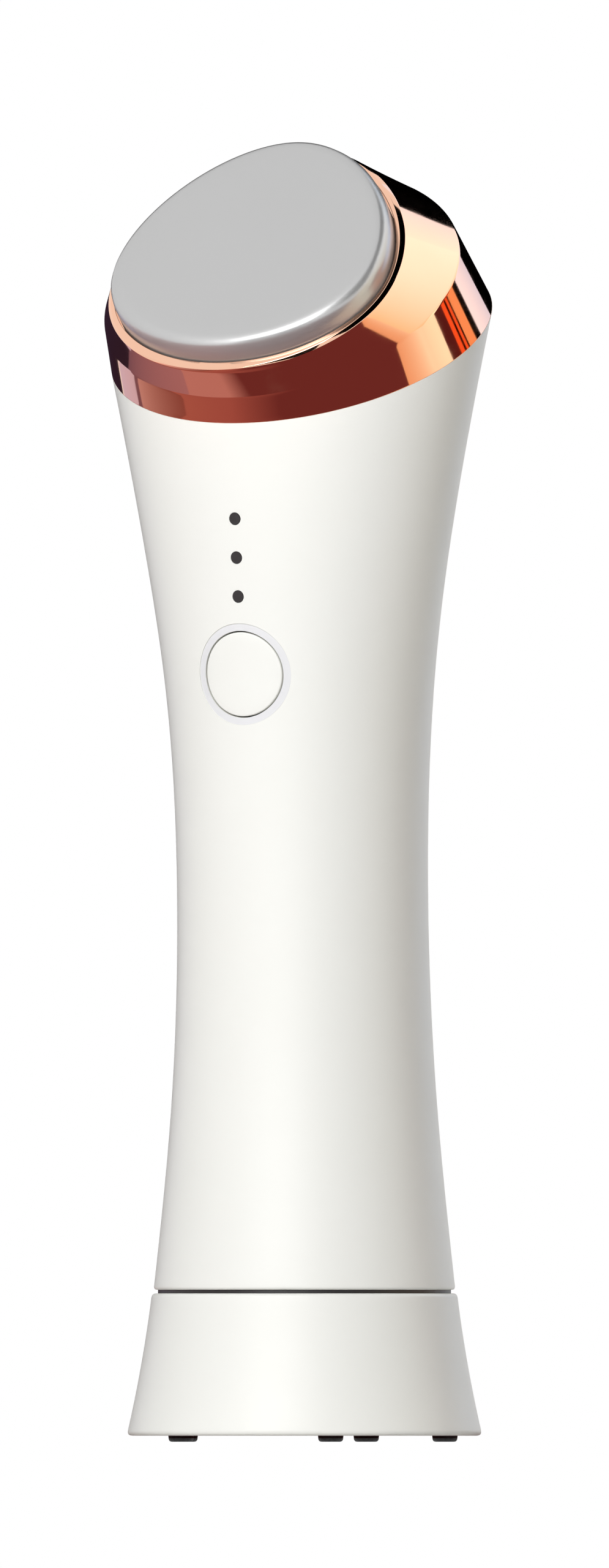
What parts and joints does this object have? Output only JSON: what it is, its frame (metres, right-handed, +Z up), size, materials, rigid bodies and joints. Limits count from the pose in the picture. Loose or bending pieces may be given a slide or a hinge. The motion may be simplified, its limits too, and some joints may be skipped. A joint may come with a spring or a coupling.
{
  "type": "face massager",
  "caption": "Hot and cold face massager with a tilted oval metal plate in a polished ring on a waisted handle, standing on a round charging stand",
  "frame": {"origin": "on the stand's axis, at the level of the surface that its rubber feet stand on", "axes": "+Z up along the handle, -Y towards the side with the button and lamps, +X to the right when looking at that side, right-handed"},
  "size_m": [0.0552, 0.0533, 0.1802],
  "materials": {
    "white_plastic": "satin",
    "inner_plastic": "matte",
    "black_rubber": "matte",
    "screw_steel": "satin",
    "circuit_board": "satin",
    "contact_brass": "polished",
    "black_plastic": "matte",
    "cell_can": "satin",
    "lamp_body": "gloss",
    "smoked_plastic": "gloss",
    "weight_metal": "satin",
    "rose_gold": "mirror",
    "plate_metal": "satin",
    "white_ceramic": "matte",
    "pellet_metal": "satin",
    "sink_aluminium": "satin"
  },
  "bodies": {
    "stand": {"stand_shell": "white_plastic", "stand_base_plate": "inner_plastic", "rubber_feet": "black_rubber", "stand_screws": "screw_steel", "charging_board": "circuit_board", "charging_board_screws": "screw_steel", "contact_barrels": "contact_brass", "charging_socket": "screw_steel", "socket_tongue": "black_plastic"},
    "left_contact": {"contact_pin_left": "contact_brass"},
    "right_contact": {"contact_pin_right": "contact_brass"},
    "button": {"power_button": "white_plastic", "switch_plunger": "black_plastic"},
    "rotor": {"motor_shaft": "screw_steel", "eccentric_weight": "weight_metal"},
    "massager": {"handle_shell": "white_plastic", "bottom_cap": "black_plastic", "charging_pads": "contact_brass", "bottom_cap_screws": "screw_steel", "frame_screws": "screw_steel", "inner_frame": "inner_plastic", "battery_cell": "cell_can", "battery_terminal": "screw_steel", "main_board": "circuit_board", "main_board_screws": "screw_steel", "board_components": "black_plastic", "switch_housing": "black_plastic", "indicator_leds": "lamp_body", "light_pipes": "smoked_plastic", "vibration_motor": "screw_steel", "head_ring": "rose_gold", "massage_plate": "plate_metal", "plate_gasket": "black_rubber", "peltier_cold_plate": "white_ceramic", "peltier_pellets": "pellet_metal", "peltier_hot_plate": "white_ceramic", "heat_sink": "sink_aluminium", "heat_sink_screws": "screw_steel", "temperature_sensor": "black_plastic"}
  },
  "joints": [
    {"name": "massager_lift", "type": "slide", "parent": "stand", "child": "massager", "axis": [0, 0, 1], "range_m": [0, 0.03]},
    {"name": "power_button_press", "type": "slide", "parent": "massager", "child": "button", "axis": [0, 0.9982, 0.0593], "range_m": [0, 0.0004], "stiffness_N_per_m": 4000},
    {"name": "motor_spin", "type": "hinge", "parent": "massager", "child": "rotor", "pos_m": [0, 0.00444, 0.115], "axis": [0, 0, 1], "continuous": true},
    {"name": "contact_press_left", "type": "slide", "parent": "stand", "child": "left_contact", "axis": [0, 0, -1], "range_m": [0, 0.0008], "stiffness_N_per_m": 400},
    {"name": "contact_press_right", "type": "slide", "parent": "stand", "child": "right_contact", "axis": [0, 0, -1], "range_m": [0, 0.0008], "stiffness_N_per_m": 400}
  ]
}
